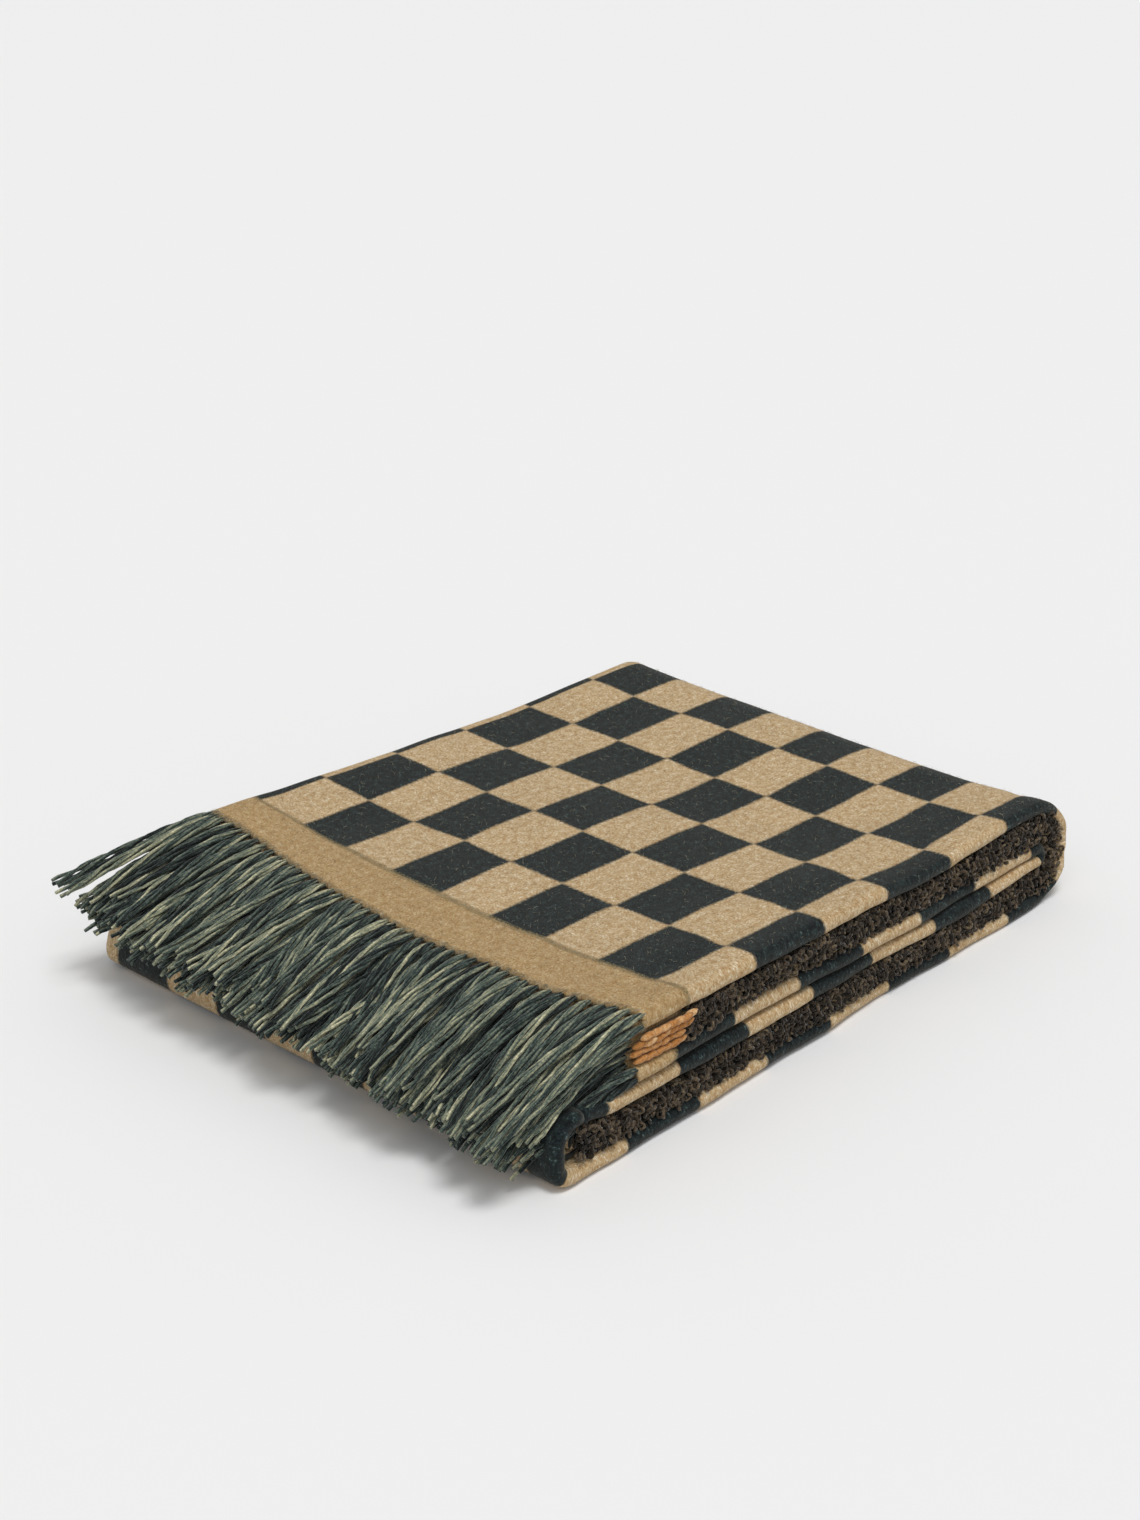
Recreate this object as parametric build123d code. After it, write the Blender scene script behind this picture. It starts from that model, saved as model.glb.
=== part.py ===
from build123d import *
import math
import os

# A woven throw blanket, folded to a quarter of its width and then twice over its length, with fringed ends.
# Millimetres. While it is modelled, x runs along the stack from the lower fold (0) to the end folds, y runs
# from the near long side (0) to the back, and z is up from the surface that it rests on.

# Driving dimensions
folded_length = 425.0       # lower fold to end folds, without the fringe
folded_depth = 326.0        # near side to back side
layer_pitch_fringe = 4.7    # one of the sixteen layers with its gap, at the fringed side of the stack
layer_pitch_fold = 3.75     # the same at the end folds, where the stack is pressed flatter
layer_gap = 0.35            # air between two layers
pressed_flat = 0.1          # taken off the lowest layer, which lies flat on the surface
edge_setback = 50.0         # from the lower fold to the fringed edges of the two upper panels
selvedge_inset = 1.5        # from the near side to the outermost loops of the selvedge
selvedge_width = 6.5        # loopy border along each long edge of the cloth
fringe_length = 110.0
tassel_spacing = 7.0
tassel_width = 4.6
tassel_thickness = 3.0
fringe_overlap_free = 30.0  # straight start of each tassel, before it bends over the lower fold
tip_clearance = 2.0         # from the lowest tassel tips to the surface

# What follows from them
layers_per_panel = 4
half_gap = layer_gap / 2
stack_drop = half_gap + pressed_flat
end_radius = 2 * layers_per_panel * layer_pitch_fold
end_centre_x = folded_length - end_radius
stack_slope = (layer_pitch_fold - layer_pitch_fringe) / end_centre_x


def pitch_at(x):
    """Layer pitch at a place along the stack, which thins evenly from the fringed side to the end folds."""
    return layer_pitch_fringe + stack_slope * x


# The lower fold is a half circle over two panels, so its centre is one radius in from x = 0.
lower_centre_x = layers_per_panel * layer_pitch_fringe / (1 - layers_per_panel * stack_slope)
lower_pitch = pitch_at(lower_centre_x)


def flipped(z, pitch, panel):
    """Height within a panel, turned over on the panels that the lengthways folds turned face down."""
    if panel % 2 == 0:
        z = layers_per_panel * pitch - z
    return z + panel * layers_per_panel * pitch - stack_drop


def ribbon_outline(x, pitch, panel):
    """Section of one panel across its width: the cloth folded in half and in half again, as one ribbon.
    Two layers share a fold at the near side, and the other two end there in the selvedges."""
    half = (pitch - layer_gap) / 2
    near_y = pitch
    back_y = folded_depth - 2 * pitch
    edge_y = selvedge_inset + selvedge_width

    def at(y, z):
        return (x, y, flipped(z, pitch, panel))

    def bend(y, z, radius, side):
        """Half circle from z - radius to z + radius, or back, bulging to the near or back side."""
        reach = abs(radius) * side
        return ThreePointArc(at(y, z - radius), at(y + reach, z), at(y, z + radius))

    outer = 1.5 * pitch
    inner = 0.5 * pitch
    edges = [
        Line(at(edge_y, half_gap), at(back_y, half_gap)),
        bend(back_y, 2 * pitch, outer + half, 1),
        Line(at(back_y, 4 * pitch - half_gap), at(near_y, 4 * pitch - half_gap)),
        bend(near_y, 3 * pitch, -(inner + half), -1),
        Line(at(near_y, 2 * pitch + half_gap), at(back_y, 2 * pitch + half_gap)),
        bend(back_y, 2 * pitch, -(inner - half), 1),
        Line(at(back_y, 2 * pitch - half_gap), at(edge_y, 2 * pitch - half_gap)),
        Line(at(edge_y, 2 * pitch - half_gap), at(edge_y, pitch + half_gap)),
        Line(at(edge_y, pitch + half_gap), at(back_y, pitch + half_gap)),
        bend(back_y, 2 * pitch, inner + half, 1),
        Line(at(back_y, 3 * pitch - half_gap), at(near_y, 3 * pitch - half_gap)),
        bend(near_y, 3 * pitch, inner - half, -1),
        Line(at(near_y, 3 * pitch + half_gap), at(back_y, 3 * pitch + half_gap)),
        bend(back_y, 2 * pitch, -(outer - half), 1),
        Line(at(back_y, pitch - half_gap), at(edge_y, pitch - half_gap)),
        Line(at(edge_y, pitch - half_gap), at(edge_y, half_gap)),
    ]
    return Face(Wire(edges))


def selvedge_outline(x, pitch, panel, layer):
    """Section of one loopy border, a strip with a rounded nose, on the layer that it edges."""
    low = layer * pitch + half_gap
    high = (layer + 1) * pitch - half_gap
    nose = (high - low) / 2
    edge_y = selvedge_inset + selvedge_width
    nose_y = selvedge_inset + nose

    def at(y, z):
        return (x, y, flipped(z, pitch, panel))

    edges = [
        Line(at(edge_y, low), at(nose_y, low)),
        ThreePointArc(at(nose_y, low), at(selvedge_inset, low + nose), at(nose_y, high)),
        Line(at(nose_y, high), at(edge_y, high)),
        Line(at(edge_y, high), at(edge_y, low)),
    ]
    return Face(Wire(edges))


def straight(outline, start_x, end_x, *which):
    """A flat stretch of the stack between two places, thinning from one section to the other."""
    faces = [outline(x, pitch_at(x), *which) for x in (start_x, end_x)]
    return Solid.make_loft([face.outer_wire() for face in faces], ruled=True)


def turned(outline, centre_x, pitch, degrees, centre_panel, *which):
    """A fold: a panel's section turned half a circle about the line between the panels that it joins."""
    height = centre_panel * layers_per_panel * pitch - stack_drop
    axis = Axis((centre_x, 0, height), (0, 1, 0))
    return revolve(outline(centre_x, pitch, *which), axis, degrees)


def panel(number, start_x):
    return straight(ribbon_outline, start_x, end_centre_x, number)


def panel_selvedges(number, start_x):
    return [straight(selvedge_outline, start_x, end_centre_x, number, layer) for layer in (0, 1)]


def end_fold(number):
    """The fold at the end of the stack from a panel of the upper half down to its partner below."""
    return turned(ribbon_outline, end_centre_x, layer_pitch_fold, 180, 2, number)


def end_fold_selvedges(number):
    pitch = layer_pitch_fold
    return [turned(selvedge_outline, end_centre_x, pitch, 180, 2, number, layer) for layer in (0, 1)]


def lower_fold():
    """The fold under the fringe that joins the two lower panels."""
    return turned(ribbon_outline, lower_centre_x, lower_pitch, -180, 1, 1)


def lower_fold_selvedges():
    pitch = lower_pitch
    return [turned(selvedge_outline, lower_centre_x, pitch, -180, 1, 1, layer) for layer in (0, 1)]


# Fringe. The tassels of all eight layers bend about one centre, so that the rows lie parallel.
fringe_pitch = pitch_at(edge_setback)
fringe_bend_x = edge_setback - fringe_overlap_free
lowest_row_height = (2 * layers_per_panel + 0.5) * fringe_pitch - stack_drop
highest_row_height = (4 * layers_per_panel - 0.5) * fringe_pitch - stack_drop
lowest_bend_radius = lowest_row_height + layers_per_panel * fringe_pitch / 2


def bend_radius(height):
    return lowest_bend_radius + height - lowest_row_height


def tip_below(height, droop):
    """How far below its edge of the cloth the end of a tassel is, when it bends down by droop radians."""
    radius = bend_radius(height)
    rest = fringe_length - fringe_overlap_free - radius * droop
    return radius * (1 - math.cos(droop)) + (rest + tassel_thickness) * math.sin(droop)


def steepest_droop():
    """The most that the tassels can bend down with the tips of the lowest row clear of the surface."""
    degrees = 1
    while lowest_row_height - tip_below(lowest_row_height, math.radians(degrees + 1)) > tip_clearance + tassel_thickness / 2:
        degrees += 1
    return degrees


droop_degrees = steepest_droop()


def tassel(height):
    """One tassel as a bent bar, in the plane of its row's first place."""
    droop = math.radians(droop_degrees)
    radius = bend_radius(height)
    centre = (fringe_bend_x, height - radius)
    rest = fringe_length - fringe_overlap_free - radius * droop
    run = (-math.cos(droop), -math.sin(droop))

    def on_bend(angle, offset):
        reach = radius + offset
        return (centre[0] - reach * math.sin(angle), 0, centre[1] + reach * math.cos(angle))

    def tip(offset):
        x, y, z = on_bend(droop, offset)
        return (x + run[0] * rest, y, z + run[1] * rest)

    half = tassel_thickness / 2
    edges = [
        Line((edge_setback, 0, height + half), on_bend(0, half)),
        ThreePointArc(on_bend(0, half), on_bend(droop / 2, half), on_bend(droop, half)),
        Line(on_bend(droop, half), tip(half)),
        Line(tip(half), tip(-half)),
        Line(tip(-half), on_bend(droop, -half)),
        ThreePointArc(on_bend(droop, -half), on_bend(droop / 2, -half), on_bend(0, -half)),
        Line(on_bend(0, -half), (edge_setback, 0, height - half)),
        Line((edge_setback, 0, height - half), (edge_setback, 0, height + half)),
    ]
    return extrude(Face(Wire(edges)), amount=tassel_width, dir=(0, 1, 0))


def fringe_row(row):
    """The tassels along the fringed edge of one layer, evenly spaced from the near side to the back fold."""
    height = lowest_row_height + row * fringe_pitch
    first_y = selvedge_inset + selvedge_width
    last_y = folded_depth - 2 * fringe_pitch - tassel_width
    count = int((last_y - first_y) / tassel_spacing) + 1
    bar = tassel(height)
    return [bar.moved(Location((0, first_y + k * tassel_spacing, 0))) for k in range(count)]


def fringe_rows(name, first_row):
    return {f"{name}_{k + 1}": fringe_row(first_row + k) for k in range(layers_per_panel)}


def all_nodes():
    nodes = {
        "bottom_panel": [panel(0, lower_centre_x)],
        "third_panel": [panel(1, lower_centre_x)],
        "second_panel": [panel(2, edge_setback)],
        "top_panel": [panel(3, edge_setback)],
        "lower_fold": [lower_fold()],
        "inner_end_fold": [end_fold(2)],
        "outer_end_fold": [end_fold(3)],
        "bottom_selvedges": panel_selvedges(0, lower_centre_x),
        "third_selvedges": panel_selvedges(1, lower_centre_x),
        "second_selvedges": panel_selvedges(2, edge_setback),
        "top_selvedges": panel_selvedges(3, edge_setback),
        "lower_fold_selvedges": lower_fold_selvedges(),
        "inner_fold_selvedges": end_fold_selvedges(2),
        "outer_fold_selvedges": end_fold_selvedges(3),
    }
    nodes.update(fringe_rows("second_fringe_row", 0))
    nodes.update(fringe_rows("top_fringe_row", layers_per_panel))
    return nodes


def fringe_reach():
    """How far the longest tassel stands out past the lower fold."""
    return -min(tassel(height).bounding_box().min.X for height in (lowest_row_height, highest_row_height))


def resting(solid):
    """The solid without what the surface below the stack presses flat."""
    if solid.bounding_box().min.Z > -pressed_flat / 2:
        return solid
    return solid.split(Plane.XY, keep=Keep.TOP)


def main():
    os.makedirs("parts", exist_ok=True)
    centre_x = (folded_length - fringe_reach()) / 2
    place = Location((-centre_x, -folded_depth / 2, 0))
    for name, solids in all_nodes().items():
        placed = [resting(solid).moved(place) for solid in solids]
        export_step(Compound(children=placed), f"parts/{name}.step")
    fold_height = 2 * layers_per_panel * layer_pitch_fold - stack_drop
    for name, middle_layer in (("outer", 1.5 * layers_per_panel), ("inner", 0.5 * layers_per_panel)):
        reach = math.pi / 4 * middle_layer * layer_pitch_fold
        x = end_centre_x - centre_x + reach
        print(f"{name} end fold turns about x {x:.3f}, z {fold_height - reach:.3f} and {fold_height + reach:.3f}")


main()
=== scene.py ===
import bpy
import math
import numpy as np
import random
from mathutils import Matrix, Vector, noise


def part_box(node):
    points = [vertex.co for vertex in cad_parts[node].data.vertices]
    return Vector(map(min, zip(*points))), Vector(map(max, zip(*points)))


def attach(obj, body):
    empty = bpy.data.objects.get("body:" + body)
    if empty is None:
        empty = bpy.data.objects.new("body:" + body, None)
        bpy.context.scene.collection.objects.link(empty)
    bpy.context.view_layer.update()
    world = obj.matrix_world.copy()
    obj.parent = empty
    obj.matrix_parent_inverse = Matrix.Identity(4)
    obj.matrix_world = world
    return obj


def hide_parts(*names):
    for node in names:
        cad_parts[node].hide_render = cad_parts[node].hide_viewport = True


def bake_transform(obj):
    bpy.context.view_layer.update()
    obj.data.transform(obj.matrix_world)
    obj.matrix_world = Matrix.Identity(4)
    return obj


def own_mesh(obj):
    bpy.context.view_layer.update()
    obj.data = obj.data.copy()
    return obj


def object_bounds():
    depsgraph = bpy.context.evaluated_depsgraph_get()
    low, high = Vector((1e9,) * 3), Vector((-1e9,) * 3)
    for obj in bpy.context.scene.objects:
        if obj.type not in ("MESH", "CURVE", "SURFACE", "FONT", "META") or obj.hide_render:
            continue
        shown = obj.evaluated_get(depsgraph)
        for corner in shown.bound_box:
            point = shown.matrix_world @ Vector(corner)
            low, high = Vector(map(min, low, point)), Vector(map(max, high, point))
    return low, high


# A folded throw blanket: one fringed, brushed wool cloth, folded in four over its width and in four over
# its length. +X runs from the fringe to the end folds, +Y from the near side to the back. In metres.
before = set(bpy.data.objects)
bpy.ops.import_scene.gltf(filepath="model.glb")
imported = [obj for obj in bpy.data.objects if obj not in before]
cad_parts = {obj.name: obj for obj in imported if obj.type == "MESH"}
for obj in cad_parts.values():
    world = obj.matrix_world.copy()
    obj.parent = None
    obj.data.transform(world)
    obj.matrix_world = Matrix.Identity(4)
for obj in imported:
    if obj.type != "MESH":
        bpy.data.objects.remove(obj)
cad_low, cad_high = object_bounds()
mm = 0.001


# -------------------------------------------------------------------------------------------------------
# Camera, floor and light. A long lens looks down on the near corner of the fringed side, from far enough
# to see the whole stack. The floor is a wide pale sheet, lit by two large soft boxes and a pale sky.
lower_fold_low, lower_fold_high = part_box("lower_fold")
near_corner = Vector((lower_fold_low.x, cad_low.y, 0))
camera_turn = math.radians(47.3)
camera_fall = math.radians(24.7)
camera_distance = 1.386
camera_focal = 70.13
frame_tall = 36.0
camera_right = 0.00655
camera_up = 0.20361

ahead = Vector((
    math.cos(camera_fall) * math.sin(camera_turn),
    math.cos(camera_fall) * math.cos(camera_turn),
    -math.sin(camera_fall),
))
across_view = ahead.cross(Vector((0, 0, 1))).normalized()
down_view = ahead.cross(across_view)
bpy.ops.object.camera_add()
camera = bpy.context.object
camera.name = "camera"
camera.data.lens = camera_focal
camera.data.sensor_width = frame_tall
camera.data.clip_end = 200
viewpoint = near_corner - ahead * camera_distance + across_view * camera_right - down_view * camera_up
turned = Matrix((across_view, -down_view, -ahead)).transposed().to_4x4()
camera.matrix_world = Matrix.Translation(viewpoint) @ turned
bpy.context.scene.camera = camera


def to_linear(code):
    """A colour as Blender mixes it, from its sRGB hex code."""
    channels = [int(code[k:k + 2], 16) / 255 for k in (1, 3, 5)]
    return [c / 12.92 if c <= 0.04045 else ((c + 0.055) / 1.055) ** 2.4 for c in channels] + [1.0]


def add_node(tree, kind, settings, inputs):
    """Adds a node, sets it, and fills its inputs with plain values or with the outputs of other nodes."""
    made = tree.nodes.new(kind)
    for name, value in settings.items():
        setattr(made, name, value)
    for name, value in inputs.items():
        if isinstance(value, bpy.types.NodeSocket):
            tree.links.new(value, made.inputs[name])
        else:
            made.inputs[name].default_value = value
    return made


def new_material(name):
    """An empty material: its node tree and its output node."""
    material = bpy.data.materials.new(name)
    material.use_nodes = True
    material.node_tree.nodes.clear()
    output = material.node_tree.nodes.new("ShaderNodeOutputMaterial")
    return material, material.node_tree, output


# Matt painted board: emulsion rolled on smooth board gives an even pale ground with no gloss, so that only
# the soft shadow shows on it.
floor_paint, tree, output = new_material("matt_painted_board")
shader = add_node(tree, "ShaderNodeBsdfPrincipled", {}, {
    "Base Color": to_linear("#efefef"),
    "Roughness": 0.95,
    "Specular IOR Level": 0.1,
})
tree.links.new(shader.outputs[0], output.inputs["Surface"])
bpy.ops.object.select_all(action="DESELECT")
bpy.ops.mesh.primitive_plane_add(size=120, location=(0, 0, -0.4 * mm))
floor = bpy.context.object
floor.name = "floor"
floor.data.materials.append(floor_paint)

sky = bpy.data.worlds.new("studio_sky")
bpy.context.scene.world = sky
sky.use_nodes = True
sky.node_tree.nodes["Background"].inputs["Color"].default_value = to_linear("#ffffff")
sky.node_tree.nodes["Background"].inputs["Strength"].default_value = 0.42

# Both lights stand for large soft boxes so far off that they light the whole floor evenly.
for name, light_from, strength, spread in (
    ("key_light", Vector((-0.14, -0.28, 1.0)), 1.44, 20),
    ("fill_light", Vector((-0.60, -0.50, 0.9)), 0.62, 60),
):
    bpy.ops.object.light_add(type="SUN", location=light_from * 2)
    light = bpy.context.object
    light.name = name
    light.data.energy = strength
    light.data.angle = math.radians(spread)
    light.rotation_euler = (-light_from).to_track_quat("-Z", "Y").to_euler()
bpy.context.scene.view_settings.view_transform = "Standard"


# -------------------------------------------------------------------------------------------------------
# Bottom cloth: the lowest quarter of the throw, folded in four over its width, with the fold under the
# fringe at one end and half of the outer end fold at the other. It is one piece of jacquard, woven in two
# colours whose places swap on the reverse, and then brushed.
top_low, top_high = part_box("top_panel")
end_low, end_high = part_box("outer_end_fold")
near_y, back_y = top_low.y, top_high.y
edge_x = top_low.x
lower_x = lower_fold_high.x
end_x = end_low.x
layers = 16
stack_drop = 0.275 * mm
top_gap = 0.175 * mm
pitch_end = (end_high.z + stack_drop + top_gap) / layers
pitch_edge = (top_high.z + stack_drop + top_gap) / layers
cloth_thick = 3.3 * mm
cloth_edge_y = near_y + 8 * mm
check_long = 55.3 * mm
check_wide = 36.4 * mm
band_long = 37.8 * mm
check_columns = 30


def fade(t):
    """A smooth step from 0 to 1."""
    t = min(1.0, max(0.0, t))
    return t * t * (3 - 2 * t)


def pitch_at(x):
    """Height of one of the sixteen layers, which are pressed flatter towards the end folds."""
    share = min(1.0, (x - edge_x) / (end_x - edge_x))
    return pitch_edge + (pitch_end - pitch_edge) * share


def ribbon_runs(pitch):
    """The cloth's way across its width, as flat runs (level, from y, to y) and half turns about a line at y
    (level, radius, side, way). Levels and radii are in layers."""
    near_turn = near_y + pitch
    back_turn = back_y - 2 * pitch
    return [
        ("run", 0.5, cloth_edge_y, back_turn),
        ("turn", 2.0, 1.5, back_turn, 1, 1),
        ("run", 3.5, back_turn, near_turn),
        ("turn", 3.0, 0.5, near_turn, -1, -1),
        ("run", 2.5, near_turn, back_turn),
        ("turn", 2.0, 0.5, back_turn, 1, -1),
        ("run", 1.5, back_turn, cloth_edge_y),
    ]


def run_length(run, pitch):
    if run[0] == "run":
        return abs(run[3] - run[2])
    return math.pi * run[2] * pitch


middle_pitch = (pitch_edge + pitch_end) / 2
run_lengths = [run_length(run, middle_pitch) for run in ribbon_runs(middle_pitch)]
near_fold_s = sum(run_lengths[:3]) + run_lengths[3] / 2


def ribbon_at(s, pitch):
    """Place across the stack, y and level, of the cloth at s from its first selvedge."""
    runs = ribbon_runs(pitch)
    index = 0
    while s > run_lengths[index] and index < len(runs) - 1:
        s -= run_lengths[index]
        index += 1
    share = s / run_lengths[index]
    run = runs[index]
    if run[0] == "run":
        return run[2] + (run[3] - run[2]) * share, run[1]
    angle = math.pi * share
    return run[3] + run[4] * run[2] * pitch * math.sin(angle), run[1] - run[5] * run[2] * math.cos(angle)


def across_stops(spacing):
    """Where the rows of vertices lie across the cloth: evenly on the runs, and closer round the turns."""
    stops = [0.0]
    for length, run in zip(run_lengths, ribbon_runs(middle_pitch)):
        parts = math.ceil(length / spacing) if run[0] == "run" else 10
        stops += [stops[-1] + length * (k + 1) / parts for k in range(parts)]
    return stops


# Layers at the near side, as counted from below, and the levels at which they really lie there.
counted_levels = (0, 2, 6, 10, 14, 16)
puffed_levels = (0, 2.15, 5.2, 9.9, 13.35, 16)


def lie(x, y, z):
    """Where a point of the evenly folded stack comes to lie: the folds at the near side puff up and the
    selvedges between them are pressed, both long sides stand a little proud, and the edges wander."""
    pitch = pitch_at(x)
    level = z / pitch
    share = level / layers
    z -= stack_drop
    near = 1 - fade((y - near_y) / (75 * mm))
    back = 1 - fade((back_y - y) / (80 * mm))

    # Heights: puffed folds at the near side, a hollow in the top, both long sides proud, and soft waves.
    inside = fade((x - lower_x) / (25 * mm)) * (1 - fade((x - end_x + 60 * mm) / (60 * mm)))
    z += (float(np.interp(level, counted_levels, puffed_levels)) - level) * pitch * near * inside
    hollow = math.exp(-(((x - 0.10) / 0.06) ** 2))
    z -= share * (3.0 + 2.4 * hollow) * mm
    z += share * (5.4 * near + (1.5 + 4.5 * (1 - fade((x - edge_x) / 0.16))) * back) * mm
    z -= share * 1.3 * mm * math.exp(-(((y - near_y - 24 * mm) / (7 * mm)) ** 2))
    z += share * 1.2 * mm * noise.noise(Vector((x / 0.085, y / 0.075, 3.1)))
    z += share * 0.5 * mm * noise.noise(Vector((x / 0.03, y / 0.03, 7.7)))

    # Sideways: the near folds wander, the top one lies askew, and the layers are stepped at the back.
    y += near * 2.6 * mm * noise.noise(Vector((x / 0.07, level / 2.6, 1.7)))
    y += near * 0.9 * mm * noise.noise(Vector((x / 0.022, level / 2.1, 5.2)))
    y += near * share * (x - 0.02) * 0.022
    y -= share * 9 * mm * fade((y - back_y + 24 * mm) / (24 * mm))
    y += (1 - share) ** 2 * (1 - fade((x - lower_x) / 0.2)) * (11 * back - 3 * near) * mm

    # The fringed edges of the upper half curve in at both ends, and wander too.
    if level > layers / 2 - 0.1:
        edge = 1 - fade((x - edge_x) / (70 * mm))
        x += edge * (17 * fade((y - back_y + 0.16) / 0.15) + 8 * (1 - fade((y - near_y) / 0.07))) * mm
        x += edge * 3.2 * mm * noise.noise(Vector((y / 0.045, level / 5, 9.4)))
        z += edge * 1.6 * mm * noise.noise(Vector((y / 0.05, 2.2, level / 8)))
    return x, y, z


def in_panel(number, x, y, level, turn=0.0):
    """A point of panel 0 to 3, counted from below. The folds turned panels 0 and 2 face down. With a turn,
    the point is that far round the end fold, whose axis lies at end_x between the middle two panels."""
    if number % 2 == 0:
        level = 4 - level
    level += 4 * number
    if turn == 0.0:
        return lie(x, y, level * pitch_at(x))
    height = (level - 8) * pitch_end
    x, z = end_x + abs(height) * math.sin(turn), 8 * pitch_end + height * math.cos(turn)
    return lie(x, y, z)


def brushed_wool(name, swapped):
    """Wool jacquard, woven double and brushed: soft, matt and lightly haired, so that each check is a mix
    of fine flecks and their edges blur. swapped gives the reverse, where the two colours change places."""
    material, tree, output = new_material(name)
    flat = add_node(tree, "ShaderNodeUVMap", {"uv_map": "flat"}, {})

    def math_node(operation, first, second=0.0, third=0.0):
        inputs = {0: first, 1: second, 2: third}
        return add_node(tree, "ShaderNodeMath", {"operation": operation}, inputs).outputs[0]

    def flecks(size, detail, rough=0.6, stretch=(1, 1, 1)):
        sides = {0: flat.outputs[0], 1: stretch}
        place = add_node(tree, "ShaderNodeVectorMath", {"operation": "MULTIPLY"}, sides)
        inputs = {"Vector": place.outputs[0], "Scale": 1 / size, "Detail": detail, "Roughness": rough}
        return add_node(tree, "ShaderNodeTexNoise", {}, inputs).outputs[0]

    def blend_colours(share, first, second):
        inputs = {"Factor": share, 6: first, 7: second}
        return add_node(tree, "ShaderNodeMix", {"data_type": "RGBA"}, inputs).outputs[2]

    def ramp(value, *stops):
        made = add_node(tree, "ShaderNodeValToRGB", {}, {0: value})
        made.color_ramp.elements[0].position = stops[0][0]
        made.color_ramp.elements[0].color = to_linear(stops[0][1])
        made.color_ramp.elements[1].position = stops[-1][0]
        made.color_ramp.elements[1].color = to_linear(stops[-1][1])
        for place, colour in stops[1:-1]:
            made.color_ramp.elements.new(place).color = to_linear(colour)
        return made.outputs[0]

    def swayed(value, share, amount):
        """A value with an uneven share, from 0 to 1, added as an amount to both sides."""
        return math_node("ADD", value, math_node("MULTIPLY", math_node("SUBTRACT", share, 0.5), amount))

    def side_of(angle, sharpness):
        """1 or -1, by the sign of the sine, with a soft step between them."""
        steep = math_node("MULTIPLY", math_node("SINE", angle), sharpness)
        return add_node(tree, "ShaderNodeClamp", {}, {0: steep, "Min": -1.0}).outputs[0]

    # Threads stray over each boundary by a millimetre or two, and the rows of weaving wander.
    parts = add_node(tree, "ShaderNodeSeparateXYZ", {}, {0: flat.outputs[0]})
    stray = flecks(1.6 * mm, 2.0)
    wander = flecks(34 * mm, 1.0)
    along = swayed(swayed(parts.outputs[0], stray, 3.4 * mm), wander, 4 * mm)
    over = swayed(swayed(parts.outputs[1], stray, 3.0 * mm), wander, 3 * mm)

    # Checks: the signs of two waves, whose zeros are the boundaries, tell the colour.
    column = math_node("DIVIDE", math_node("SUBTRACT", along, band_long), check_long / math.pi)
    first_row = near_fold_s - check_wide / 2
    row = math_node("DIVIDE", math_node("SUBTRACT", over, first_row), check_wide / math.pi)
    product = math_node("MULTIPLY", side_of(column, 16.0), side_of(row, 11.0))
    light_share = math_node("MULTIPLY_ADD", product, -0.5 if swapped else 0.5, 0.5)

    # The plain bands at both ends, and the thin speckled line of crossed threads between band and checks.
    last_band = band_long + check_columns * check_long
    in_first = math_node("LESS_THAN", along, band_long)
    in_band = math_node("MAXIMUM", in_first, math_node("GREATER_THAN", along, last_band))
    from_first = math_node("ABSOLUTE", math_node("SUBTRACT", along, band_long))
    from_last = math_node("ABSOLUTE", math_node("SUBTRACT", along, last_band))
    line = math_node("LESS_THAN", math_node("MINIMUM", from_first, from_last), 2.3 * mm)

    # Wool is dyed before it is spun, so every colour is a mix of fine flecks, in slightly uneven patches.
    fine = flecks(1.15 * mm, 3.0, 0.8)
    coarse = flecks(4.0 * mm, 2.0, 0.6)
    fleck = swayed(math_node("MULTIPLY_ADD", fine, 1.15, -0.075), coarse, 0.5)
    second_fleck = flecks(1.1 * mm, 2.0, 0.7, (1, 1.6, 1))
    patch = flecks(26 * mm, 2.0)
    camel = ramp(fleck, (0.24, "#8c6844"), (0.41, "#af9268"), (0.57, "#c6b18c"), (0.76, "#efe6d2"))
    warm = math_node("MULTIPLY", math_node("GREATER_THAN", second_fleck, 0.57), 0.42)
    camel = blend_colours(warm, camel, to_linear("#ad7442"))
    dark = ramp(fleck, (0.30, "#0c0f10"), (0.48, "#161c1d"), (0.64, "#263132"), (0.80, "#6a807c"))
    cool = math_node("MULTIPLY", math_node("GREATER_THAN", second_fleck, 0.62), 0.35)
    dark = blend_colours(cool, dark, to_linear("#2c4a52"))
    ochre = ramp(fleck, (0.24, "#795b38"), (0.44, "#a5885b"), (0.60, "#b8a078"), (0.80, "#dccdb0"))
    band = blend_colours(math_node("MULTIPLY", warm, 1.2), ochre, to_linear("#9c6c3c"))
    checks = blend_colours(light_share, dark, camel)
    colour = blend_colours(in_band, checks, band)
    speckle = ramp(second_fleck, (0.40, "#2f3c34"), (0.62, "#a08a5e"))
    crossings = math_node("MULTIPLY_ADD", math_node("GREATER_THAN", fine, 0.5), 0.6, 0.2)
    colour = blend_colours(math_node("MULTIPLY", line, crossings), colour, speckle)
    tone = math_node("MULTIPLY_ADD", patch, 0.22, 0.89)
    shading = {0: colour, "Scale": tone}
    colour = add_node(tree, "ShaderNodeVectorMath", {"operation": "SCALE"}, shading).outputs[0]

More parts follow.
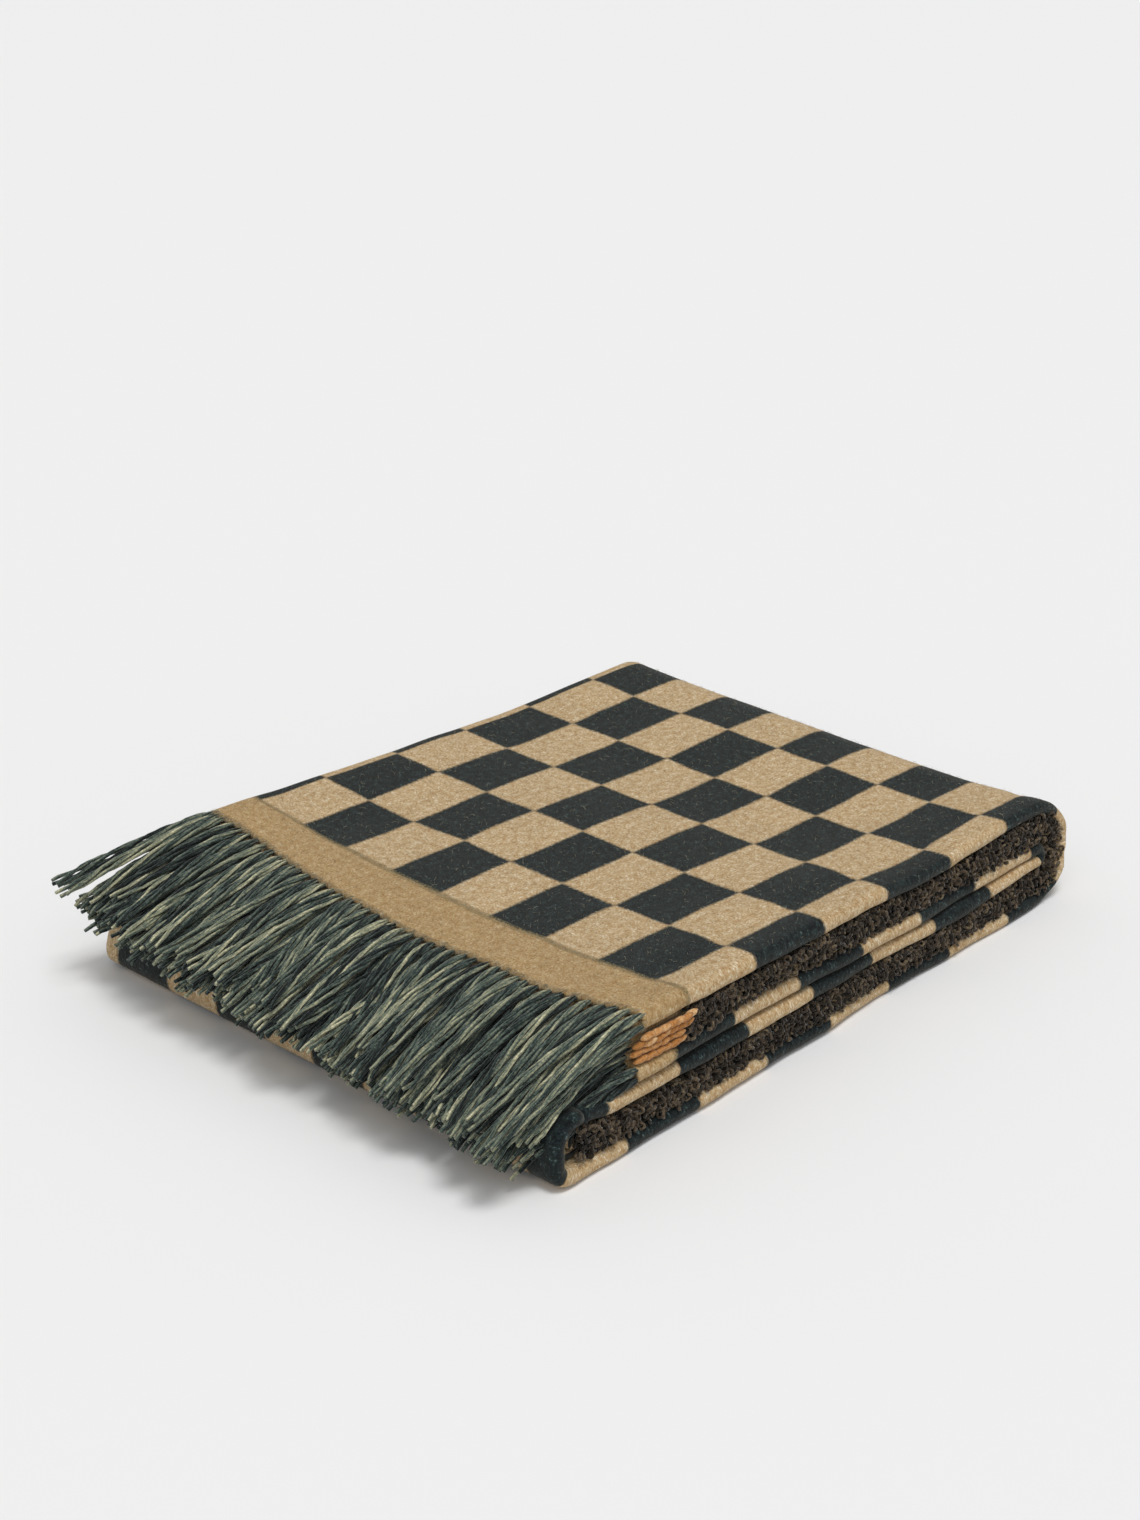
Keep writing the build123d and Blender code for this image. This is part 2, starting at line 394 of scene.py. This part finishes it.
    # Hair and threads: the brushed hair hides most of the twill, whose ribs are drawn 2.8 mm apart, about
    # twice as coarse as they are woven, so that they show.
    hair = flecks(0.9 * mm, 3.0, 0.75, (1, 1.5, 1))
    pile = flecks(5 * mm, 2.0)
    waves = {"wave_type": "BANDS", "bands_direction": "DIAGONAL"}
    rib = 2.777 * mm
    inputs = {"Vector": flat.outputs[0], "Scale": math.tau / (math.sqrt(200) * rib), "Distortion": 1.5}
    twill = add_node(tree, "ShaderNodeTexWave", waves, inputs)
    height = math_node("MULTIPLY_ADD", twill.outputs[1], 0.22, hair)
    height = math_node("MULTIPLY_ADD", pile, 0.5, height)
    bump = add_node(tree, "ShaderNodeBump", {}, {"Height": height, "Strength": 0.5, "Distance": 0.7 * mm})
    shader = add_node(tree, "ShaderNodeBsdfPrincipled", {}, {
        "Base Color": colour,
        "Roughness": 0.93,
        "Specular IOR Level": 0.15,
        "Sheen Weight": 0.24,
        "Sheen Roughness": 0.45,
        "Sheen Tint": to_linear("#cfcabc"),
        "Normal": bump.outputs[0],
    })
    tree.links.new(shader.outputs[0], output.inputs["Surface"])
    return material


wool_face = brushed_wool("brushed_wool_jacquard_face", False)
wool_reverse = brushed_wool("brushed_wool_jacquard_reverse", True)


def folded_cloth(name, stops, place):
    """A flat sheet, made as a grid and then folded: place gives, for a stop along the cloth, its checks'
    column, and the point at s across it. The sheet gets its thickness and lies with its face outwards."""
    rows = across_stops(5 * mm)
    bpy.ops.object.select_all(action="DESELECT")
    bpy.ops.mesh.primitive_grid_add(x_subdivisions=len(rows) - 1, y_subdivisions=len(stops) - 1, size=1)
    cloth = bpy.context.object
    cloth.name = name
    mesh = cloth.data
    mesh.uv_layers.active.name = "flat"
    columns = []
    for vertex in mesh.vertices:
        across = round((vertex.co.x + 0.5) * (len(rows) - 1))
        along = round((vertex.co.y + 0.5) * (len(stops) - 1))
        column, point = place(stops[along], rows[across])
        vertex.co = point
        columns.append((band_long + column * check_long, rows[across]))
    for loop in mesh.loops:
        mesh.uv_layers["flat"].data[loop.index].uv = columns[loop.vertex_index]
    mesh.materials.append(wool_face)
    mesh.materials.append(wool_reverse)
    thick = cloth.modifiers.new("cloth_thickness", "SOLIDIFY")
    thick.thickness = cloth_thick
    thick.offset = 0
    thick.material_offset = 1
    thick.use_even_offset = False
    bpy.ops.object.modifier_apply(modifier=thick.name)
    bpy.ops.object.shade_smooth()
    return cloth


def straight_stops(first, last, spacing=5 * mm):
    parts = math.ceil(abs(last - first) / spacing)
    return [("flat", first + (last - first) * k / parts) for k in range(parts + 1)]


def turn_stops(first, last, parts):
    return [("turn", first + (last - first) * k / parts) for k in range(parts + 1)]


# Column of the checks, counted from the first band on, at the places where the panels meet the folds.
top_column_end = (end_x - edge_x - band_long) / check_long
bottom_column_end = top_column_end + 1.87
bottom_column_fold = bottom_column_end + 7.15
third_column_fold = bottom_column_fold + 1.10
third_column_end = third_column_fold + 7.21
second_column_end = third_column_end + 0.96
lower_pitch = pitch_at(lower_x)


def pitch_of(stop):
    """Height of a layer at a stop along the cloth. Round a fold it stays the same."""
    kind, value = stop
    if kind == "flat":
        return pitch_at(value)
    return pitch_end if kind == "turn" else lower_pitch


def bottom_place(stop, s):
    """From the middle of the outer end fold, along the surface, and up round the fold below the fringe,
    which bulges out by a fifth and is pressed flat below."""
    kind, value = stop
    y, level = ribbon_at(s, pitch_of(stop))
    if kind == "turn":
        half_fold = (bottom_column_end - top_column_end) / 2
        return bottom_column_end - half_fold * value / (math.pi / 2), in_panel(0, 0, y, level, value)
    if kind == "flat":
        share = (end_x - value) / (end_x - lower_x)
        column = bottom_column_end + (bottom_column_fold - bottom_column_end) * share
        return column, in_panel(0, value, y, level)
    radius = level * lower_pitch
    squareness = 0.55 if value < math.pi / 2 else 0.8
    x = lower_x - 1.2 * radius * abs(math.sin(value)) ** squareness
    z = 4 * lower_pitch - radius * math.copysign(abs(math.cos(value)) ** squareness, math.cos(value))
    column = bottom_column_fold + (third_column_fold - bottom_column_fold) * (value / math.pi) ** 0.68
    return column, lie(x, y, z)


bottom_stops = turn_stops(math.pi / 2, 0.0, 12)[:-1] + straight_stops(end_x, lower_x)
bottom_stops += [("under", math.pi * (k + 1) / 20) for k in range(20)]
bottom_cloth = folded_cloth("bottom_cloth", bottom_stops, bottom_place)
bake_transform(bottom_cloth)
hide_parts("bottom_panel", "lower_fold")


def third_place(stop, s):
    kind, value = stop
    y, level = ribbon_at(s, pitch_of(stop))
    if kind == "turn":
        half_fold = (second_column_end - third_column_end) / 2
        return third_column_end + half_fold * value / (math.pi / 2), in_panel(1, 0, y, level, value)
    share = (value - lower_x) / (end_x - lower_x)
    column = third_column_fold + (third_column_end - third_column_fold) * share
    return column, in_panel(1, value, y, level)


third_stops = straight_stops(lower_x, end_x) + turn_stops(0.0, math.pi / 2, 10)[1:]
third_cloth = folded_cloth("third_cloth", third_stops, third_place)
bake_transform(third_cloth)
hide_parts("third_panel", "inner_end_fold")

# -------------------------------------------------------------------------------------------------------
# Second cloth: the next panel up, of the same jacquard and face down. It comes out of the upper half of the
# inner end fold and ends above the lower fold, in the woven edge that the lower rows of fringe hang from.
second_check_long = 0.93 * check_long


def second_place(stop, s):
    kind, value = stop
    y, level = ribbon_at(s, pitch_of(stop))
    if kind == "turn":
        half_fold = (second_column_end - third_column_end) / 2
        return second_column_end - half_fold * value / (math.pi / 2), in_panel(2, 0, y, level, value)
    return second_column_end + (end_x - value) / second_check_long, in_panel(2, value, y, level)


second_stops = turn_stops(math.pi / 2, 0.0, 10)[:-1] + straight_stops(end_x, edge_x)
second_cloth = folded_cloth("second_cloth", second_stops, second_place)
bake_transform(second_cloth)
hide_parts("second_panel")

# -------------------------------------------------------------------------------------------------------
# Top cloth: the panel that shows, face up, of the same jacquard. It starts over the fringe with the plain
# woven band, and at its other end it runs over into the upper half of the outer end fold.


def top_place(stop, s):
    kind, value = stop
    y, level = ribbon_at(s, pitch_of(stop))
    if kind == "turn":
        half_fold = (bottom_column_end - top_column_end) / 2
        return top_column_end + half_fold * value / (math.pi / 2), in_panel(3, 0, y, level, value)
    return (value - edge_x - band_long) / check_long, in_panel(3, value, y, level)


top_stops = straight_stops(edge_x, end_x, 4 * mm) + turn_stops(0.0, math.pi / 2, 14)[1:]
top_cloth = folded_cloth("top_cloth", top_stops, top_place)
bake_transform(top_cloth)
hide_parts("top_panel", "outer_end_fold")

# -------------------------------------------------------------------------------------------------------
# Selvedges: the two woven edges of the cloth lie between its folds on the near side of each panel. Loops of
# dark boucle yarn, caught by the outermost warp threads, show there as rows of curls. Beside the plain
# bands the weft turns back in thick slanted floats of camel yarn instead.
dice = random.Random(11)


def woollen_yarn(name, shades, fleck_size):
    """Spun wool: matt and hairy, with a shade of its own in every piece and paler flecks along it."""
    material, tree, output = new_material(name)
    shade = add_node(tree, "ShaderNodeAttribute", {"attribute_name": "shade"}, {})
    place = add_node(tree, "ShaderNodeTexCoord", {}, {})
    inputs = {"Vector": place.outputs["Object"], "Scale": 1 / fleck_size, "Detail": 2.0, "Roughness": 0.7}
    fleck = add_node(tree, "ShaderNodeTexNoise", {}, inputs)
    mixed = add_node(tree, "ShaderNodeMath", {"operation": "MULTIPLY_ADD"}, {
        0: fleck.outputs[0],
        1: 0.9,
        2: shade.outputs["Fac"],
    })
    ramp = add_node(tree, "ShaderNodeValToRGB", {}, {0: mixed.outputs[0]})
    ramp.color_ramp.elements[0].position = 0.3
    ramp.color_ramp.elements[0].color = to_linear(shades[0])
    ramp.color_ramp.elements[1].position = 1.0
    ramp.color_ramp.elements[1].color = to_linear(shades[-1])
    for k, code in enumerate(shades[1:-1]):
        ramp.color_ramp.elements.new(0.3 + 0.7 * (k + 1) / (len(shades) - 1)).color = to_linear(code)
    relief = {"Height": fleck.outputs[0], "Strength": 0.6, "Distance": 0.5 * mm}
    bump = add_node(tree, "ShaderNodeBump", {}, relief)
    shader = add_node(tree, "ShaderNodeBsdfPrincipled", {}, {
        "Base Color": ramp.outputs[0],
        "Roughness": 0.9,
        "Specular IOR Level": 0.15,
        "Sheen Weight": 0.25,
        "Sheen Roughness": 0.4,
        "Normal": bump.outputs[0],
    })
    tree.links.new(shader.outputs[0], output.inputs["Surface"])
    return material


# Boucle yarn, plied so that one thread stands off in curls: rough and nearly black. Its palest tan flecks
# are painted highlights: tan glints painted into its colour.
dark_boucle = woollen_yarn("plied_boucle_yarn", ("#14110e", "#2e271e", "#56493a", "#8a7a5c"), 1.2 * mm)
# Soft-spun weft yarn, hardly twisted: plump and matt, in warm orange browns.
camel_floats = woollen_yarn("soft_spun_camel_floats", ("#6b4320", "#a06a36", "#c08b54", "#dcb98a"), 1.6 * mm)


def mesh_piece(name, points, faces, marks, shades, slots):
    """One piece from its points, faces, each face's material and each point's shade."""
    mesh = bpy.data.meshes.new(name)
    mesh.from_pydata(points, [], faces)
    for material in slots:
        mesh.materials.append(material)
    mesh.polygons.foreach_set("material_index", marks)
    mesh.polygons.foreach_set("use_smooth", [True] * len(faces))
    layer = mesh.attributes.new("shade", "FLOAT", "POINT")
    layer.data.foreach_set("value", shades)
    piece = bpy.data.objects.new(name, mesh)
    bpy.context.collection.objects.link(piece)
    return piece


def tube(path, radii, sides, points, faces):
    """Adds a closed tube along a path of vectors. Its faces point outwards."""
    first = len(points)
    count = len(path)
    side = None
    for k in range(count):
        run = (path[min(k + 1, count - 1)] - path[max(k - 1, 0)]).normalized()
        if side is None:
            side = run.orthogonal().normalized()
        side = (side - run * side.dot(run)).normalized()
        other = run.cross(side)
        for j in range(sides):
            angle = math.tau * j / sides
            points.append(path[k] + (side * math.cos(angle) + other * math.sin(angle)) * radii[k])
    for k in range(count - 1):
        for j in range(sides):
            a = first + k * sides + j
            b = first + k * sides + (j + 1) % sides
            faces.append((a, b, b + sides, a + sides))
    faces.append(tuple(first + j for j in reversed(range(sides))))
    faces.append(tuple(first + (count - 1) * sides + j for j in range(sides)))


def curl(middle, size, points, faces):
    """A loop of yarn, three quarters of a ring, tipped at random towards the near side."""
    tip = Matrix.Rotation(dice.uniform(-0.8, 0.8), 3, "X") @ Matrix.Rotation(dice.uniform(-1, 1), 3, "Z")
    turn = dice.uniform(0, math.tau)
    path = []
    for k in range(7):
        angle = turn + 4.9 * k / 6
        path.append(middle + tip @ Vector((math.cos(angle), 0.15 * (k / 6 - 0.5), math.sin(angle))) * size)
    tube(path, [size * 0.40] * 7, 5, points, faces)


def float_bead(middle, run, long, points, faces):
    """A thick slanted float of weft yarn, as a short spindle."""
    path = [middle + run * long * (k / 6 - 0.5) for k in range(7)]
    tube(path, [r * mm for r in (0.6, 1.35, 1.7, 1.8, 1.7, 1.35, 0.6)], 8, points, faces)


def selvedge_piece(name, number, first_x, band_to):
    """The two selvedges of a panel, over its straight part and round its quarter of the end fold. Up to
    band_to they have floats instead of loops. Round the outer fold the loops spill over the fold's rim."""
    points, faces, marks, shades = [], [], [], []
    outer = number in (0, 3)
    fold_radius = (4.5 if outer else 0.5) * pitch_end + 3 * mm
    last_x = end_x + (30 if outer else 8) * mm
    for level in (0.5, 1.5):
        x = first_x
        while x < last_x:
            turn = max(0.0, (x - end_x) / fold_radius)
            start = len(points)
            begun = len(faces)
            if x < band_to:
                y = near_y + (2.4 + dice.uniform(-0.6, 0.6)) * mm
                middle = Vector(in_panel(number, x + (3 * mm if level > 1 else 0), y, level))
                run = Vector((1, dice.uniform(-0.35, -0.15), dice.uniform(0.16, 0.32))).normalized()
                float_bead(middle, run, dice.uniform(7.5, 9) * mm, points, faces)
                step = 6.2 * mm
                kind, tone = 1, dice.uniform(0.1, 0.45)
            else:
                over = fade(turn / 0.4) if outer and level > 1 else 0.0
                for part in range(3):
                    y = near_y + (2.0 + 2.4 * part - 0.6 * over + dice.uniform(-1.0, 1.0)) * mm
                    up = level + dice.uniform(-0.32, 0.32) + 0.35 * over
                    place = in_panel(number, x + dice.uniform(-1, 1) * mm, y, up, min(turn, 1.5))
                    curl(Vector(place), dice.uniform(1.3, 2.4) * mm, points, faces)
                step = 2.7 * mm
                kind, tone = 0, dice.uniform(-0.05, 0.35)
            marks += [kind] * (len(faces) - begun)
            shades += [tone] * (len(points) - start)
            x += step
    return mesh_piece(name, points, faces, marks, shades, (dark_boucle, camel_floats))


bottom_loops = selvedge_piece("bottom_selvedge_loops", 0, lower_x, lower_x)
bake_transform(bottom_loops)
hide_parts("bottom_selvedges", "lower_fold_selvedges")

third_loops = selvedge_piece("third_selvedge_loops", 1, lower_x, lower_x)
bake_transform(third_loops)
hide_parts("third_selvedges", "inner_fold_selvedges")

second_loops = selvedge_piece("second_selvedge_loops", 2, edge_x, edge_x + 32 * mm)
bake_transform(second_loops)
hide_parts("second_selvedges")

top_loops = selvedge_piece("top_selvedge_loops", 3, edge_x, edge_x + band_long)
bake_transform(top_loops)
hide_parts("top_selvedges", "outer_fold_selvedges")

# -------------------------------------------------------------------------------------------------------
# Fringe: the warp ends of each short edge, twisted into long loose tassels of several strands. They come
# out between the layers, bend down over the fold below and hang free. The row of each layer is one piece.
tassel_spacing = 7 * mm


def plied_yarn():
    """Plied woollen warp: matt, each strand in its own blue green or cream, with a stripe winding round."""
    material, tree, output = new_material("plied_wool_fringe")
    shade = add_node(tree, "ShaderNodeAttribute", {"attribute_name": "shade"}, {})
    place = add_node(tree, "ShaderNodeTexCoord", {}, {})
    inputs = {"Vector": place.outputs["Object"], "Scale": 1 / (1.1 * mm), "Detail": 2.0, "Roughness": 0.7}
    fleck = add_node(tree, "ShaderNodeTexNoise", {}, inputs)
    flecked = {0: fleck.outputs[0], 1: 0.8, 2: -0.4}
    spread = add_node(tree, "ShaderNodeMath", {"operation": "MULTIPLY_ADD"}, flecked)
    sum_of = {0: spread.outputs[0], 1: shade.outputs["Fac"]}
    mixed = add_node(tree, "ShaderNodeMath", {"operation": "ADD"}, sum_of)
    ramp = add_node(tree, "ShaderNodeValToRGB", {}, {0: mixed.outputs[0]})
    shades = ("#0e1211", "#26312f", "#4a5750", "#757c69", "#a5a384", "#dad4b4")
    ramp.color_ramp.elements[0].color = to_linear(shades[0])
    ramp.color_ramp.elements[1].color = to_linear(shades[-1])
    for k, code in enumerate(shades[1:-1]):
        ramp.color_ramp.elements.new((k + 1) / (len(shades) - 1)).color = to_linear(code)
    relief = {"Height": fleck.outputs[0], "Strength": 0.5, "Distance": 0.4 * mm}
    bump = add_node(tree, "ShaderNodeBump", {}, relief)
    shader = add_node(tree, "ShaderNodeBsdfPrincipled", {}, {
        "Base Color": ramp.outputs[0],
        "Roughness": 0.88,
        "Specular IOR Level": 0.2,
        "Sheen Weight": 0.25,
        "Sheen Roughness": 0.4,
        "Normal": bump.outputs[0],
    })
    tree.links.new(shader.outputs[0], output.inputs["Surface"])
    return material


fringe_yarn = plied_yarn()


def tassel(root, tip, points, faces, shades):
    """Loosely twisted strands along a curve that leaves the cloth level and then bends down to its tip."""
    way = tip - root
    guide = (
        root + Vector((2 * mm, 0, 0)),
        root + Vector((0.30 * way.x, 0.10 * way.y, 2.5 * mm)),
        root + Vector((0.66 * way.x, 0.50 * way.y, 0.50 * way.z + 1 * mm)),
        tip,
    )
    across = Vector((-way.y, way.x, 0)).normalized()
    upright = across.cross(way).normalized()
    lean = dice.uniform(0, math.tau)
    winding = dice.uniform(5.0, 9.0) * dice.choice((-1, 1))
    strands = 4
    for strand in range(strands):
        start = lean + math.tau * strand / strands
        finish = dice.uniform(0.93, 1.0)
        path, radii = [], []
        for k in range(26):
            t = finish * k / 25
            along = [(1 - t) ** 3, 3 * t * (1 - t) ** 2, 3 * t * t * (1 - t), t ** 3]
            middle = sum((guide[j] * along[j] for j in range(4)), Vector())
            angle = start + winding * t
            gathered = 0.45 + 0.55 * fade(t / 0.12)
            loose = (1.25 + 0.80 * t * t) * gathered * mm
            kink = noise.noise(Vector((start * 5, t * 11, root.y * 900))) * 1.3 * mm * (0.2 + t)
            middle += across * (math.cos(angle) * loose * 1.25 + kink) + upright * math.sin(angle) * loose
            path.append(middle)
            radii.append((1.06 - 0.12 * t + 0.13 * math.sin(k * 2.3 + start)) * gathered * mm)
        begun = len(points)
        tube(path, radii, 6, points, faces)
        tone = dice.choice((0.12, 0.26, 0.36, 0.46, 0.58, 0.72))
        for k in range(len(points) - begun):
            shades.append(tone + 0.26 * math.cos(2 * (k % 6) * math.tau / 6 + 1.1 * (k // 6)))


def row_level(number, row):
    """Level within its panel of a row of fringe, counted upwards. Panel 2 lies face down."""
    return 0.5 + row if number == 3 else 3.5 - row


def fringe_piece(name, number, row):
    """One layer's row of tassels. The far ones lie nearly level and the near ones hang lowest."""
    points, faces, shades = [], [], []
    level = row_level(number, row)
    place_up = row + 4 * (number - 2)
    y = near_y + (2.5 if level > 2 else 9) * mm
    while y < back_y - 5 * mm:
        away = (y - near_y) / (back_y - near_y)
        root = Vector(in_panel(number, edge_x, y + dice.uniform(-0.8, 0.8) * mm, level))
        clump = 15 * mm * noise.noise(Vector((y / 0.030, place_up * 1.3, 0.5)))
        lift = 9 * mm * noise.noise(Vector((y / 0.034, place_up * 0.7, 4.5)))
        tip = Vector((
            edge_x - (66 + (3.4 - 1.4 * away) * place_up + dice.uniform(-17, 6)) * mm,
            y + clump + dice.uniform(-5, 5) * mm + (11 * away - 2 + 9 * (1 - fade(away / 0.12))) * mm,
            (16 + 18 * away ** 1.5 + (2.7 + 0.2 * away) * place_up + dice.uniform(-4, 4)) * mm + lift,
        ))
        tassel(root, tip, points, faces, shades)
        y += tassel_spacing
    return mesh_piece(name, points, faces, [0] * len(faces), shades, (fringe_yarn,))


# A row rides on its layers and moves with them as they open.
for half, number in (("second", 2), ("top", 3)):
    for row in range(4):
        fringe = fringe_piece(f"{half}_fringe_{row + 1}", number, row)
        root = Vector(in_panel(number, edge_x, 0, row_level(number, row)))
        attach(fringe, f"{half}_layers")
        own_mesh(fringe)
        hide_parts(f"{half}_fringe_row_{row + 1}")

# -------------------------------------------------------------------------------------------------------
# Stray hairs: brushing lifts fine fibres out of the wool and leaves them rooted in it. They stand about a
# millimetre off the top cloth and its near fold, and are thickest where the cloth ends over the fringe.

# Single wool fibres, brushed up: pale and dull, a light haze over the dark checks.
hair_wool = woollen_yarn("brushed_up_wool_fibres", ("#4b4a42", "#8f8872", "#bdb498", "#e4dcc4"), 1.5 * mm)


def stray_hairs(name, count):
    """Fine hairs on the outer side of the top cloth, each a thin bent tube with three sides."""
    points, faces, shades = [], [], []
    first_s, last_s = sum(run_lengths[:2]), sum(run_lengths[:4])
    for number in range(count):
        s = dice.uniform(first_s, last_s)
        if number % 6 == 0:
            stop, aside = ("flat", edge_x + dice.uniform(0, 3) * mm), -4.5 * mm
        elif number % 9 == 1:
            stop, aside = ("turn", dice.uniform(0, 1.5)), 0.0
        else:
            stop, aside = ("flat", dice.uniform(edge_x, end_x)), 0.0
        root = Vector(top_place(stop, s)[1])
        beside = Vector(top_place(stop, s + 0.5 * mm)[1]) - root
        next_stop = (stop[0], stop[1] + (0.01 if stop[0] == "turn" else 0.5 * mm))
        onward = Vector(top_place(next_stop, s)[1]) - root
        out_of = beside.cross(onward).normalized()
        lean = Vector((dice.uniform(-2.6, 2.6) * mm + aside, dice.uniform(-2.6, 2.6) * mm, 0))
        lean -= out_of * lean.dot(out_of)
        lift = dice.uniform(0.3, 1.4) * mm
        low = root + out_of * (cloth_thick / 2 - 0.1 * mm)
        path = [low, low + lean * 0.35 + out_of * lift, low + lean + out_of * lift * dice.uniform(0.3, 1.2)]
        begun = len(points)
        tube(path, [0.06 * mm, 0.05 * mm, 0.03 * mm], 3, points, faces)
        shades += [dice.uniform(-0.2, 0.4)] * (len(points) - begun)
    return mesh_piece(name, points, faces, [0] * len(faces), shades, (hair_wool,))


top_hairs = stray_hairs("top_cloth_stray_hairs", 6000)
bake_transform(top_hairs)
